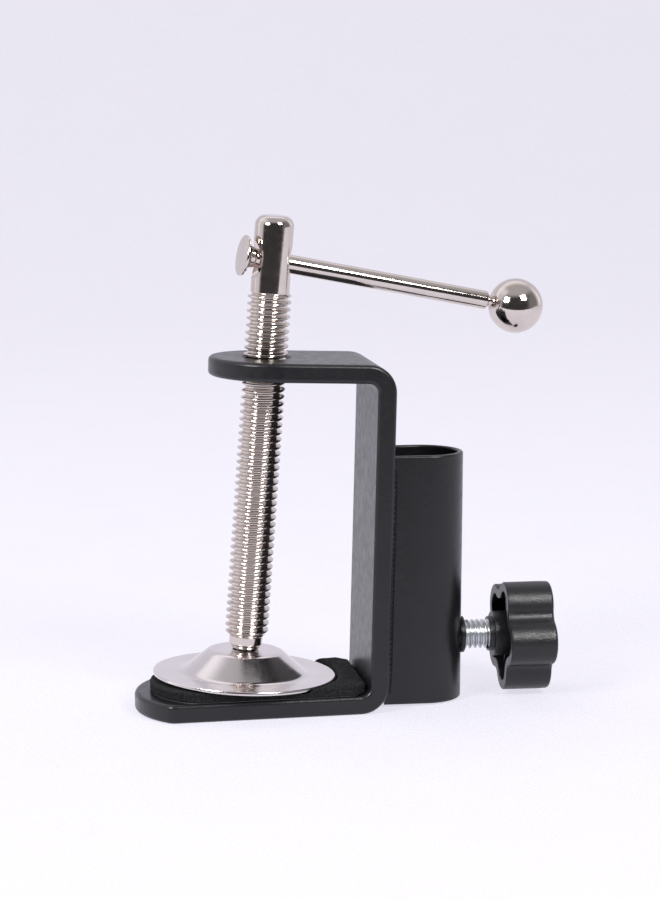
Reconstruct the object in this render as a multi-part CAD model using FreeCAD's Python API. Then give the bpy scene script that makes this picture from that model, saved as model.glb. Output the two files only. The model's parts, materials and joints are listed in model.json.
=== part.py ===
import FreeCAD, Part
import math
import os

from FreeCAD import Vector as V

# Table clamp with a post socket. Millimetres, +Z up, +X from the open side of the
# clamp towards the socket, +Y to the back. The clamp stands on its lower jaw at
# z = 0, and the origin is on that face, under the centre of the swivel pad.

# ---- driving dimensions -------------------------------------------------------

# bent steel strip
strip_width = 35.0
strip_thickness = 5.0
inner_bend_radius = 2.5
edge_round = 1.1
frame_height = 92.3          # outside, along the upright
pad_to_upright = 35.4        # origin to the outer face of the upright, at the bottom
lower_jaw_reach = 65.35       # outer face of the upright to the tip of the lower jaw
lower_jaw_tip_radius = 23.3
lower_jaw_corner_radius = 3.5
throat_reach = 32.35          # outer corner of the upper bend to the screw hole
upright_lean = 2.0           # degrees, the lower bend is opened by this much
upper_jaw_end_reach = 15.0   # screw hole to the tip of the upper jaw
upper_jaw_lift = 2.3         # degrees, the tip of the upper jaw stands this much higher
hole_collar_height = 1.0
hole_collar_wall = 1.4
hole_collar_root = 1.0       # the collar starts this far inside the strip
hole_mouth_flare = 2.0       # the hole opens by this much at the top face
hole_mouth_depth = 0.9

# foam pad and the film that holds it
foam_thickness = 3.0
film_thickness = 0.2
foam_side_inset = 0.3
foam_tip_inset = 4.05
foam_upright_gap = 0.6
foam_corner_cut = 3.0
film_inset = 0.4             # the film stops this far inside the foam's edge
bend_gap = 0.2
soft_gap = 0.3

# clamp screw; its thread and the thumbscrew's are plain rods of the outer diameter
thread_diameter = 11.6
thread_length = 92.5
screw_lean_x = 4.45           # degrees, the top of the screw leans to the socket
screw_lean_y = 2.3           # degrees, and to the front
head_diameter = 10.3
head_length = 20.2
head_edge_round = 2.6
band_diameter = 8.9
band_length = 2.1
shoulder_diameter = 7.8
shoulder_taper = 1.2
neck_diameter = 5.6
rivet_diameter = 8.4
rivet_thickness = 1.0
rivet_edge = 0.5
running_clearance = 0.05
screw_seat_height = 8.0      # the screw's own zero above the base

# swivel pad and its washer
pad_diameter = 49.1
pad_sheet = 1.1
pad_rim_round = 0.4
dome_base_diameter = 34.0
dome_top_diameter = 19.5
dome_height = 7.2            # underside of the rim to the top of the dome
dome_blend = 2.4
dome_hole_clearance = 0.6
pad_tilt = 3.0               # degrees, the pad tips down towards the socket
pivot_height = 6.6           # along the screw, from its zero
pad_end_float = 0.55
washer_diameter = 11.0
washer_thickness = 1.0
washer_gap = 0.1

# tommy bar
bar_diameter = 5.0
bar_sag = 7.8                # degrees, the bar hangs this far in its loose hole
bar_turn = 8.0               # degrees, the ball's end is turned to the back
bar_height = 111.2           # along the screw, from its zero
bar_hole_clearance = 0.75
bar_hole_mouth = 9.2
bar_hole_mouth_overrun = 0.6
bar_end_reach = 8.4          # screw axis to the outer face of the flared end
flare_diameter = 10.8
flare_thickness = 1.0
flare_cone_length = 2.0
flare_neck_diameter = 6.2
flare_edge = 0.3
flare_cone_step = 0.4
ball_diameter = 14.8
ball_reach = 69.8            # screw axis to the centre of the ball
tenon_diameter = 3.0
tenon_bare_length = 1.3
tenon_depth = 8.0
bar_end_chamfer = 0.6

# post socket
tube_lean = 0.9              # degrees, the tube stands straighter than the upright
tube_diameter = 21.3         # across the socket's flat sides and its round back
tube_wall = 1.5
tube_length = 67.5            # height of the tube's top along the upright
tube_floor_gap = 0.1
tube_rim_round = 0.6
weld_gap = 0.02
weld_leg = 1.9
weld_end_gap = 4.0

# thumbscrew
stud_height = 16.35          # along the tube, from the base
stud_diameter = 7.94
stud_tip_gap = 0.3           # the tip waits this far short of the bore
stud_tip_chamfer = 0.8
bush_flange_diameter = 9.8
bush_flange_thickness = 0.7
bush_body_diameter = 9.0
hub_standoff = 7.5           # outer face of the tube to the hub's end

# star knob
knob_lobe_radius = 15.3
knob_lobe_count = 5
knob_lobe_round = 6.3
knob_valley_round = 3.0
knob_lobe_phase = 0.556       # of one lobe, how far the star is turned on its stud
knob_thickness = 12.6
knob_wall = 2.6
knob_cavity_depth = 9.0
knob_edge_round = 0.8
hub_diameter = 12.0
hub_collar_diameter = 9.4
hub_length = 2.4
hub_collar_length = 1.2
rib_thickness = 1.0
rib_drop = 2.0
stud_root_length = 9.0       # length of the stud inside the knob
stud_end_gap = 0.2

# working values
cut_margin = 2.0             # how far a cutter stands past what it cuts
same_place = 0.01

# ---- derived frames -----------------------------------------------------------

X = V(1, 0, 0)
Y = V(0, 1, 0)
Z = V(0, 0, 1)

lean = math.radians(upright_lean)
lift = math.radians(upper_jaw_lift)
up_along_web = V(math.sin(lean), 0, math.cos(lean))
out_of_web = V(math.cos(lean), 0, -math.sin(lean))
to_jaw_tip = V(-math.cos(lift), 0, math.sin(lift))
jaw_normal = V(math.sin(lift), 0, math.cos(lift))

half_width = strip_width / 2
lower_corner = V(pad_to_upright, 0, 0)
upper_corner = lower_corner + up_along_web * frame_height
hole_centre = upper_corner + to_jaw_tip * throat_reach

screw_axis = V(math.tan(math.radians(screw_lean_x)), -math.tan(math.radians(screw_lean_y)), 1).normalize()
hole_rise = (hole_centre.z - screw_seat_height) / screw_axis.z
screw_zero = hole_centre - screw_axis * hole_rise
pad_axis = V(math.sin(math.radians(pad_tilt)), 0, math.cos(math.radians(pad_tilt)))
pivot = screw_zero + screw_axis * pivot_height
pad_zero = pivot - pad_axis * dome_height

tube_radius = tube_diameter / 2
tube_angle = math.radians(tube_lean)
up_along_tube = V(math.sin(tube_angle), 0, math.cos(tube_angle))
out_of_tube = V(math.cos(tube_angle), 0, -math.sin(tube_angle))
tube_touch = lower_corner + up_along_web * tube_length + out_of_web * weld_gap
tube_top = tube_touch + out_of_tube * tube_radius
tube_rise = tube_top.z - tube_diameter * math.sin(tube_angle) - tube_floor_gap
tube_foot = tube_top - up_along_tube * (tube_rise / up_along_tube.z)
tube_reach = (tube_top - tube_foot).Length
stud_centre = tube_foot + up_along_tube * stud_height


def frame_of(axis, origin, towards=X):
    """Placement whose local Z is axis and whose local X is nearest to towards."""
    side = axis.cross(towards).normalize()
    return FreeCAD.Placement(origin, FreeCAD.Rotation(side.cross(axis), side, axis, "ZXY"))


screw_frame = frame_of(screw_axis, screw_zero)
pad_frame = frame_of(pad_axis, pad_zero)
tube_frame = frame_of(up_along_tube, tube_foot)
stud_frame = frame_of(out_of_tube, stud_centre, Y)
web_frame = frame_of(up_along_web, lower_corner)
jaw_frame = frame_of(jaw_normal, hole_centre)

# ---- helpers ------------------------------------------------------------------


def placed(shape, placement):
    moved = shape.copy()
    moved.Placement = placement.multiply(shape.Placement)
    return moved


def rod(diameter, start, end):
    """A round rod on local Z."""
    return Part.makeCylinder(diameter / 2, end - start, V(0, 0, start), Z)


def turned(points):
    """A solid of revolution about local Z from (radius, height) points."""
    wire = Part.makePolygon([V(r, 0, z) for r, z in points + points[:1]])
    return Part.Face(wire).revolve(V(0, 0, 0), Z, 360)


def crossing(p, d, q, e):
    """Where the line through p along d meets the line through q along e, in XZ."""
    r = q - p
    k = (r.x * e.z - r.z * e.x) / (d.x * e.z - d.z * e.x)
    return p + d * k


def rounded_path(points, radius):
    """Edges of an open path in XZ whose inner points are turned by arcs."""
    edges = []
    start = points[0]
    for before, corner, after in zip(points, points[1:], points[2:]):
        a = (before - corner).normalize()
        b = (after - corner).normalize()
        half = a.getAngle(b) / 2
        run = radius / math.tan(half)
        middle = corner + (a + b).normalize() * (radius / math.sin(half) - radius)
        edges.append(Part.LineSegment(start, corner + a * run).toShape())
        edges.append(Part.Arc(corner + a * run, middle, corner + b * run).toShape())
        start = corner + b * run
    edges.append(Part.LineSegment(start, points[-1]).toShape())
    return edges


def near(edge, test):
    return all(test(v.Point) for v in edge.Vertexes)


# ---- frame --------------------------------------------------------------------


def clamp_bracket():
    tip = lower_corner - X * lower_jaw_reach
    upper_tip = hole_centre + to_jaw_tip * upper_jaw_end_reach
    outer = [tip, lower_corner, upper_corner, upper_tip]
    low = lower_corner + Z * strip_thickness
    web = lower_corner - out_of_web * strip_thickness
    high = upper_corner - jaw_normal * strip_thickness
    inner = [tip + Z * strip_thickness, crossing(low, X, web, up_along_web),
             crossing(high, to_jaw_tip, web, up_along_web), upper_tip - jaw_normal * strip_thickness]
    edges = rounded_path(outer, inner_bend_radius + strip_thickness)
    edges += rounded_path(inner, inner_bend_radius)
    edges.append(Part.LineSegment(outer[0], inner[0]).toShape())
    edges.append(Part.LineSegment(outer[-1], inner[-1]).toShape())
    profile = Part.Face(Part.Wire(Part.__sortEdges__(edges)))
    profile.translate(Y * -half_width)
    strip = profile.extrude(Y * strip_width)

    # lower tip: a shallow arc that meets the sides in small round corners
    margin = cut_margin
    block = Part.makeBox(lower_jaw_tip_radius, strip_width + 2 * margin, strip_thickness + 2 * margin,
                         V(tip.x - margin, -half_width - margin, -margin))
    disc = Part.makeCylinder(lower_jaw_tip_radius, strip_thickness + 4 * margin,
                             V(tip.x + lower_jaw_tip_radius, 0, -2 * margin), Z)
    strip = strip.cut(block.cut(disc))
    corner_x = tip.x + lower_jaw_tip_radius - math.sqrt(lower_jaw_tip_radius ** 2 - half_width ** 2)
    corners = [e for e in strip.Edges
               if near(e, lambda p: abs(p.x - corner_x) < same_place and p.z < strip_thickness + same_place)]
    strip = strip.makeFillet(lower_jaw_corner_radius, corners)

    # upper tip: a half circle, its centre a little inside the screw hole's
    arc_x = half_width - upper_jaw_end_reach
    block = Part.makeBox(half_width + margin, strip_width + 2 * margin, strip_thickness + 2 * margin,
                         V(-upper_jaw_end_reach - margin, -half_width - margin, -strip_thickness - margin))
    disc = Part.makeCylinder(half_width, strip_thickness + 4 * margin,
                             V(arc_x, 0, -strip_thickness - 2 * margin), Z)
    strip = strip.cut(placed(block.cut(disc), jaw_frame))
    strip = strip.makeFillet(edge_round, long_edges(strip))

    collar_diameter = thread_diameter + 2 * hole_collar_wall
    collar_end = hole_rise - strip_thickness - hole_collar_height
    collar = rod(collar_diameter, collar_end, hole_rise - hole_collar_root)
    strip = strip.fuse(placed(collar, screw_frame))
    bore = thread_diameter + 2 * running_clearance
    hole = rod(bore, hole_rise - 3 * strip_thickness, hole_rise + strip_thickness)
    mouth = Part.makeCone(bore / 2, bore / 2 + hole_mouth_flare, hole_mouth_flare,
                          V(0, 0, hole_rise - hole_mouth_depth), Z)
    strip = strip.cut(placed(hole, screw_frame)).cut(placed(mouth, screw_frame))
    return strip.removeSplitter()


def long_edges(strip):
    """Every edge that runs round the two flat faces of the strip."""
    keep = []
    for edge in strip.Edges:
        ends = [v.Point for v in edge.Vertexes]
        through = abs((ends[0] - ends[-1]).y) < same_place and len(ends) == 2
        flat = [f for f in strip.ancestorsOfType(edge, Part.Face)]
        normals = [f.normalAt(*f.Surface.parameter(edge.CenterOfMass)) for f in flat]
        sharp = len(normals) == 2 and abs(normals[0].dot(normals[1])) < 0.2
        if sharp and (through or edge.Length > 2 * strip_thickness or abs(ends[0].z - ends[-1].z) < 1):
            keep.append(edge)
    return keep


def pad_outline(inset, low, high):
    """The foam's plan shape between two heights, cut off short of the lower bend."""
    tip = lower_corner.x - lower_jaw_reach + foam_tip_inset + inset
    edge = half_width - foam_side_inset - inset
    end = pad_to_upright - strip_thickness / math.cos(lean) + low * math.tan(lean) - foam_upright_gap - inset
    radius = lower_jaw_tip_radius - foam_tip_inset
    shape = Part.makeBox(end - tip, 2 * edge, high - low, V(tip, -edge, low))
    round_tip = Part.makeCylinder(radius, high - low, V(tip + radius, 0, low), Z)
    rest = Part.makeBox(end - tip - radius, 2 * edge, high - low, V(tip + radius, -edge, low))
    shape = shape.common(round_tip.fuse(rest))
    upright = [e for e in shape.Edges if abs(e.tangentAt(e.FirstParameter).z) > 0.9]
    corners = [e for e in upright if near(e, lambda p: p.x > end - same_place)]
    shape = shape.makeChamfer(foam_corner_cut, corners)
    upright = [e for e in shape.Edges if abs(e.tangentAt(e.FirstParameter).z) > 0.9]
    tip_x = tip + radius - math.sqrt(radius ** 2 - edge ** 2)
    tips = [e for e in upright if near(e, lambda p: abs(p.x - tip_x) < same_place)]
    return shape.makeFillet(lower_jaw_corner_radius, tips)


def bend_relief(gap):
    """What the foam and its film leave free for the inside of the lower bend."""
    start = lower_corner.x - strip_thickness - inner_bend_radius - gap
    run = 2 * inner_bend_radius
    below = strip_thickness - cut_margin
    outline = [(start, below), (start, strip_thickness), (start + run, strip_thickness + run),
               (start + 2 * run, below), (start, below)]
    slope = Part.makePolygon([V(x, -strip_width, z) for x, z in outline])
    return Part.Face(slope).extrude(Y * (2 * strip_width))


def foam_film():
    film = pad_outline(film_inset, strip_thickness, strip_thickness + film_thickness)
    return film.cut(bend_relief(bend_gap))


def foam_pad():
    low = strip_thickness + film_thickness
    high = strip_thickness + foam_thickness
    foam = pad_outline(0, low, high)
    dent = placed(rod(pad_diameter + 2 * soft_gap, -soft_gap, 4 * foam_thickness), pad_frame)
    return foam.cut(bend_relief(bend_gap)).cut(dent)


# ---- post socket --------------------------------------------------------------


def socket_tube():
    """A U-shaped sleeve: round at the back, with flat sides that run to the upright."""
    socket = sleeve_core(tube_radius, 0)
    socket = socket.cut(sleeve_core(tube_radius - tube_wall, cut_margin))
    rims = [e for e in socket.Edges if abs(e.BoundBox.ZLength) < same_place
            and e.BoundBox.XMax > -tube_diameter + same_place]
    socket = placed(socket.makeFillet(tube_rim_round, rims), tube_frame)
    behind = Part.makeBox(3 * tube_diameter, 2 * tube_diameter, 2 * tube_length,
                          V(weld_gap, -tube_diameter, -tube_length / 2))
    socket = socket.common(placed(behind, web_frame))
    hole = rod(bush_body_diameter + 2 * running_clearance, 0, tube_diameter)
    return socket.cut(placed(hole, stud_frame))


def sleeve_core(radius, past_end):
    """A half cylinder with a block ahead of it that reaches beyond the upright."""
    tall = tube_reach + 2 * past_end
    block = Part.makeBox(tube_diameter + past_end, 2 * radius, tall,
                         V(-tube_diameter - past_end, -radius, -past_end))
    return rod(2 * radius, -past_end, tube_reach + past_end).fuse(block).removeSplitter()


def tube_weld_beads():
    """Two fillet beads in the corners between the upright and the sleeve's flat sides."""
    beads = []
    for side in (-1, 1):
        foot = side * (tube_radius + weld_gap)
        corners = [V(0, foot, 0), V(weld_leg, foot, 0), V(0, foot + side * weld_leg, 0)]
        section = Part.Face(Part.makePolygon(corners + corners[:1]))
        bead = section.extrude(V(0, 0, tube_length - 2 * weld_end_gap))
        bead.translate(V(0, 0, weld_end_gap))
        beads.append(placed(bead, web_frame))
    return Part.Compound(beads)


def stud_bush():
    face = tube_radius
    flange = rod(bush_flange_diameter, face - tube_wall / 2, face + bush_flange_thickness)
    flange = flange.cut(placed(rod(tube_diameter + 2 * weld_gap, -tube_length, tube_length), stud_to_tube()))
    body = rod(bush_body_diameter, 0, face + bush_flange_thickness)
    body = body.common(flange_reach())
    bush = flange.fuse(body)
    bush = bush.cut(rod(stud_diameter + 2 * running_clearance, 0, 2 * tube_diameter))
    return placed(bush.removeSplitter(), stud_frame)


def stud_to_tube():
    """The tube's own axis, seen from the stud's frame."""
    return FreeCAD.Placement(V(0, 0, 0), FreeCAD.Rotation(X, 90))


def flange_reach():
    """Everything outside the bore of the tube, so that the bush ends flush with it."""
    block = Part.makeBox(tube_diameter, tube_diameter, tube_diameter, V(-tube_radius, -tube_radius, 0))
    bore = placed(rod(tube_diameter - 2 * tube_wall, -tube_length, tube_length), stud_to_tube())
    return block.cut(bore)


# ---- clamp screw --------------------------------------------------------------

shoulder_start = pivot_height + pad_end_float
band_start = shoulder_start + shoulder_taper
thread_start = band_start + band_length
head_start = thread_start + thread_length
head_end = head_start + head_length
washer_top = pivot_height - pad_sheet - pad_end_float
washer_bottom = washer_top - washer_thickness
rivet_top = washer_bottom - washer_gap


def clamp_screw():
    neck = neck_diameter / 2
    chamfer = (thread_diameter - band_diameter) / 2
    screw = turned([
        (0, rivet_top - rivet_thickness),
        (rivet_diameter / 2 - rivet_edge, rivet_top - rivet_thickness),
        (rivet_diameter / 2, rivet_top - rivet_thickness + rivet_edge),
        (rivet_diameter / 2, rivet_top),
        (neck, rivet_top),
        (neck, shoulder_start),
        (shoulder_diameter / 2, shoulder_start),
        (band_diameter / 2, band_start),
        (band_diameter / 2, thread_start),
        (thread_diameter / 2, thread_start + chamfer),
        (thread_diameter / 2, head_start - chamfer),
        (head_diameter / 2, head_start),
        (head_diameter / 2, head_end),
        (0, head_end)])
    top = [e for e in screw.Edges if near(e, lambda p: abs(p.z - head_end) < same_place) and e.Closed]
    screw = screw.makeFillet(head_edge_round, top)
    hole = bar_diameter + 2 * bar_hole_clearance
    cross = Part.makeCylinder(hole / 2, 2 * head_diameter, V(-head_diameter, 0, 0), X)
    depth = (bar_hole_mouth - hole) / 2
    mouths = []
    for side in (-1, 1):
        wide = V(side * (head_diameter / 2 + bar_hole_mouth_overrun), 0, 0)
        mouths.append(Part.makeCone(bar_hole_mouth / 2 + bar_hole_mouth_overrun, hole / 2,
                                    depth + bar_hole_mouth_overrun, wide, X * -side))
    cutter = cross.fuse(mouths)
    cutter.Placement = FreeCAD.Placement(V(0, 0, bar_height), FreeCAD.Rotation(Z, bar_turn))
    return placed(screw.cut(cutter), screw_frame)


# ---- tommy bar ----------------------------------------------------------------

bar_local = FreeCAD.Placement(V(0, 0, bar_height), FreeCAD.Rotation(Z, bar_turn))
bar_frame = screw_frame.multiply(bar_local).multiply(
    FreeCAD.Placement(V(0, 0, 0), FreeCAD.Rotation(Y, 90 + bar_sag)))


def tommy_bar():
    """Local Z runs from the flared end to the ball."""
    end = -bar_end_reach
    cone_start = end + flare_thickness
    bare = ball_reach - ball_diameter / 2 - tenon_bare_length
    inside = ball_reach - ball_diameter / 2 + tenon_depth
    bar = turned([
        (0, end),
        (flare_diameter / 2 - flare_edge, end),
        (flare_diameter / 2, end + flare_edge),
        (flare_diameter / 2, cone_start - flare_edge),
        (flare_diameter / 2 - flare_edge, cone_start),
        (flare_neck_diameter / 2, cone_start + flare_cone_step),
        (bar_diameter / 2, cone_start + flare_cone_length),
        (bar_diameter / 2, bare - bar_end_chamfer),
        (bar_diameter / 2 - bar_end_chamfer, bare),
        (tenon_diameter / 2, bare),
        (tenon_diameter / 2, inside),
        (0, inside)])
    return placed(bar, bar_frame)


def bar_ball():
    ball = Part.makeSphere(ball_diameter / 2, V(0, 0, ball_reach), Z)
    start = ball_reach - ball_diameter
    inside = ball_reach - ball_diameter / 2 + tenon_depth + soft_gap
    return placed(ball.cut(rod(tenon_diameter + 2 * running_clearance, start, inside)), bar_frame)


# ---- swivel pad ---------------------------------------------------------------


def swivel_pad():
    """A pressed disc with a hollow dome that the screw's neck passes through."""
    rim = pad_diameter / 2
    base = dome_base_diameter / 2
    top = dome_top_diameter / 2
    slope = math.atan2(dome_height - pad_sheet, base - top)
    shift = pad_sheet * math.tan(slope / 2)
    hole = neck_diameter / 2 + dome_hole_clearance
    points = [V(hole, 0, dome_height), V(top, 0, dome_height), V(base, 0, pad_sheet), V(rim, 0, pad_sheet)]
    under = [V(hole, 0, dome_height - pad_sheet), V(top - shift, 0, dome_height - pad_sheet),
             V(base - shift, 0, 0), V(rim, 0, 0)]
    edges = rounded_path(points, dome_blend + pad_sheet / 2)
    edges += rounded_path(under, dome_blend)
    edges.append(Part.LineSegment(points[0], under[0]).toShape())
    edges.append(Part.LineSegment(points[-1], under[-1]).toShape())
    section = Part.Face(Part.Wire(Part.__sortEdges__(edges)))
    pad = section.revolve(V(0, 0, 0), Z, 360)
    rims = [e for e in pad.Edges
            if e.Closed and near(e, lambda p: abs(math.hypot(p.x, p.y) - rim) < same_place)]
    return placed(pad.makeFillet(pad_rim_round, rims), pad_frame)


def pad_washer():
    washer = rod(washer_diameter, washer_bottom, washer_top)
    washer = washer.cut(rod(neck_diameter + 2 * running_clearance, washer_bottom - 1, washer_top + 1))
    return placed(washer, screw_frame)


# ---- thumbscrew ---------------------------------------------------------------

hub_face = tube_radius + hub_standoff
hub_start = hub_face + hub_collar_length
knob_start = hub_start + hub_length
knob_end = knob_start + knob_thickness
stud_end = knob_start + stud_root_length
knob_lobe_pitch = 2 * math.pi / knob_lobe_count
lobe_reach = knob_lobe_radius - knob_lobe_round
valley_side = (knob_lobe_round + knob_valley_round) ** 2 - (lobe_reach * math.sin(knob_lobe_pitch / 2)) ** 2
valley_reach = lobe_reach * math.cos(knob_lobe_pitch / 2) + math.sqrt(valley_side)
rib_reach = valley_reach - knob_valley_round - knob_wall / 2


def thumb_stud():
    tip = tube_radius - tube_wall + stud_tip_gap
    stud = rod(stud_diameter, tip, stud_end)
    ends = [e for e in stud.Edges if e.Closed and near(e, lambda p: p.z < tip + same_place)]
    return placed(stud.makeChamfer(stud_tip_chamfer, ends), stud_frame)


def star_plan(inset, start, end):
    """A star of round lobes, joined by round valleys that are tangent to them."""
    lobes = []
    valleys = []
    outline = []
    for i in range(knob_lobe_count):
        a = knob_lobe_pitch * (i + knob_lobe_phase)
        b = a + knob_lobe_pitch / 2
        lobe = V(lobe_reach * math.cos(a), lobe_reach * math.sin(a), start)
        valley = V(valley_reach * math.cos(b), valley_reach * math.sin(b), start)
        lobes.append(Part.makeCylinder(knob_lobe_round - inset, end - start, lobe, Z))
        valleys.append(Part.makeCylinder(knob_valley_round + inset, end - start, valley, Z))
        outline += [lobe, valley]
    web = Part.Face(Part.makePolygon(outline + outline[:1])).extrude(Z * (end - start))
    return web.fuse(lobes).cut(Part.Compound(valleys)).removeSplitter()


def star_knob():
    body = star_plan(0, knob_start, knob_end)
    outer_face = [e for e in body.Edges if near(e, lambda p: abs(p.z - knob_end) < same_place)]
    body = body.makeFillet(knob_edge_round, outer_face)
    cavity = star_plan(knob_wall, knob_start - 1, knob_start + knob_cavity_depth)
    hub = rod(hub_diameter, hub_start, knob_start + knob_cavity_depth + knob_wall)
    collar = rod(hub_collar_diameter, hub_face, knob_start)
    knob = body.cut(cavity).fuse([hub, collar])
    for i in range(knob_lobe_count):
        rib = Part.makeBox(rib_reach, rib_thickness, knob_cavity_depth - rib_drop + 1,
                           V(0, -rib_thickness / 2, knob_start + rib_drop))
        rib.rotate(V(0, 0, 0), Z, math.degrees(knob_lobe_pitch * (i + knob_lobe_phase + 0.5)))
        knob = knob.fuse(rib)
    bore = rod(stud_diameter + 2 * running_clearance, hub_face - 1, stud_end + stud_end_gap)
    return placed(knob.cut(bore).removeSplitter(), stud_frame)


# ---- build --------------------------------------------------------------------

nodes = {
    "clamp_bracket": clamp_bracket,
    "foam_film": foam_film,
    "foam_pad": foam_pad,
    "socket_tube": socket_tube,
    "tube_weld_beads": tube_weld_beads,
    "stud_bush": stud_bush,
    "clamp_screw": clamp_screw,
    "tommy_bar": tommy_bar,
    "bar_ball": bar_ball,
    "swivel_pad": swivel_pad,
    "pad_washer": pad_washer,
    "thumb_stud": thumb_stud,
    "star_knob": star_knob,
}

os.makedirs("parts", exist_ok=True)
for name, make in nodes.items():
    shape = make()
    solids = shape.Solids
    shape = solids[0] if len(solids) == 1 else Part.Compound(solids)
    shape.exportStep("parts/" + name + ".step")
    box = shape.BoundBox
    print(name, len(solids), shape.isValid(), round(shape.Volume, 1), "mm3, box",
          [round(v, 2) for v in (box.XMin, box.YMin, box.ZMin, box.XMax, box.YMax, box.ZMax)])
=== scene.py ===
import json
import math

import bmesh
import bpy
import numpy as np
from mathutils import Matrix, Vector


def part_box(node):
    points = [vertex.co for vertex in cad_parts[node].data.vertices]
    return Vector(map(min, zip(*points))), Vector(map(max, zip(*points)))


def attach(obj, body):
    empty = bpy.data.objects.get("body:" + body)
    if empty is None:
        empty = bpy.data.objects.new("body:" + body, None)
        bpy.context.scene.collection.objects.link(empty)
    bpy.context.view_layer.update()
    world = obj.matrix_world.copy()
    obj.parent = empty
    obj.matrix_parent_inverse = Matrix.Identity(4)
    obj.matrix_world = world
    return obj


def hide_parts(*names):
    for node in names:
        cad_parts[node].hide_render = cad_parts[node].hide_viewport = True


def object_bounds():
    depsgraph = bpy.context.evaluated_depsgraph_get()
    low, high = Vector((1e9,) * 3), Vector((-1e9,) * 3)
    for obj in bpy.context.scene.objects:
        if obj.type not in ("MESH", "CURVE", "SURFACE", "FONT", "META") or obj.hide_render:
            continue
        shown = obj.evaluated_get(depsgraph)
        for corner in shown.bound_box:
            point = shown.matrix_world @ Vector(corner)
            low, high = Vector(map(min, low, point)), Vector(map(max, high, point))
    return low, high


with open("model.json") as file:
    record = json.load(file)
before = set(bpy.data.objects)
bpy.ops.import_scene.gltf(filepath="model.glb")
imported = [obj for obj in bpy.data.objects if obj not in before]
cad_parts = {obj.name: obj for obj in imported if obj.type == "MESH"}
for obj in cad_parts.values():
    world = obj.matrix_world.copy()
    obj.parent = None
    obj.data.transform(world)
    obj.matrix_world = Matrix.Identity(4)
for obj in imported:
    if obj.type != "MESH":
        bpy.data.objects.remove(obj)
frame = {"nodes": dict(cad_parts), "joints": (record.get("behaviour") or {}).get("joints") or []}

clamp_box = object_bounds()
clamp_low, clamp_high = Vector(clamp_box[0]), Vector(clamp_box[1])

# ---- places that everything is built from -----------------------------------

MM = 0.001
SEGMENTS = 128
joints = {j["name"]: j for j in frame["joints"]}


def frame_of(axis, origin, towards=(1, 0, 0)):
    """A frame whose Z is the axis and whose X is nearest to towards."""
    axis = Vector(axis).normalized()
    side = axis.cross(Vector(towards)).normalized()
    placed = Matrix((side.cross(axis), side, axis)).transposed().to_4x4()
    placed.translation = origin
    return placed


screw_axis = Vector(joints["screw_travel"]["axis"]).normalized()
screw_zero = Vector(joints["screw_turn"]["pos_m"])
screw = frame_of(screw_axis, screw_zero)

pad_lean = math.radians(3.0)
dome_height = 7.2
pad_height = dome_height * MM
pad_axis = Vector((math.sin(pad_lean), 0, math.cos(pad_lean)))
pad = frame_of(pad_axis, Vector(joints["pad_tilt"]["pos_m"]) - pad_axis * pad_height)

bar_height = 111.2 * MM
bar = frame_of(joints["tommy_bar_slide"]["axis"], screw_zero + screw_axis * bar_height)

web_lean = math.radians(2.0)
web_foot = 0.0354        # where the upright's outer face meets the ground
web = frame_of((math.sin(web_lean), 0, math.cos(web_lean)), (web_foot, 0, 0))
stud = frame_of(joints["knob_turn"]["axis"], joints["knob_turn"]["pos_m"], (0, 1, 0))

# ---- mesh helpers -----------------------------------------------------------


def give(obj, material):
    obj.data.materials.clear()
    obj.data.materials.append(material)


def new_piece(name, mesh, body, slot, *stands_for):
    """An object in its slot's finish that rides on a body and stands for the named nodes."""
    obj = bpy.data.objects.new(name, mesh)
    give(obj, finishes[slot])
    bpy.context.scene.collection.objects.link(obj)
    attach(obj, body)
    if stands_for:
        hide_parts(*stands_for)
    return obj


def soften(mesh, angle):
    """Smooth shading that keeps real corners, and flat faces flat."""
    holder = bpy.data.objects.new("holder", mesh)
    bpy.context.scene.collection.objects.link(holder)
    mesh.shade_smooth()
    mesh.set_sharp_from_angle(angle=math.radians(angle))
    weighted = holder.modifiers.new("even", "WEIGHTED_NORMAL")
    weighted.keep_sharp = True
    weighted.weight = 60
    result = baked(holder)
    bpy.data.meshes.remove(mesh)
    return result


def baked(holder):
    """The holder's mesh as it stands after its modifiers; the holder goes."""
    graph = bpy.context.evaluated_depsgraph_get()
    result = bpy.data.meshes.new_from_object(holder.evaluated_get(graph))
    holder.modifiers.clear()
    bpy.data.objects.remove(holder)
    return result


def mesh_of(points, faces, place=None):
    """A closed mesh from points in millimetres, moved to its place."""
    mesh = bpy.data.meshes.new("turned")
    mesh.from_pydata([tuple(c * MM for c in p) for p in points], [], faces)
    work = bmesh.new()
    work.from_mesh(mesh)
    bmesh.ops.remove_doubles(work, verts=work.verts, dist=1e-7)
    bmesh.ops.recalc_face_normals(work, faces=work.faces)
    work.to_mesh(mesh)
    work.free()
    if place is not None:
        mesh.transform(place)
    return mesh


def eased(corners, steps=6):
    """A line of (radius, height) points from (radius, height, rounding) corners."""
    line = []
    for i, corner in enumerate(corners):
        here = Vector(corner[:2])
        rounding = corner[2] if len(corner) > 2 else 0
        if not rounding or i in (0, len(corners) - 1):
            line.append(tuple(here))
            continue
        before = (Vector(corners[i - 1][:2]) - here).normalized()
        after = (Vector(corners[i + 1][:2]) - here).normalized()
        half = before.angle(after) / 2
        run = rounding / math.tan(half)
        centre = here + (before + after).normalized() * rounding / math.sin(half)
        start, end = here + before * run, here + after * run
        a = start - centre
        sweep = a.angle_signed(end - centre)
        for k in range(steps + 1):
            t = -sweep * k / steps
            line.append((centre.x + a.x * math.cos(t) - a.y * math.sin(t),
                         centre.y + a.x * math.sin(t) + a.y * math.cos(t)))
    return line


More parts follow.
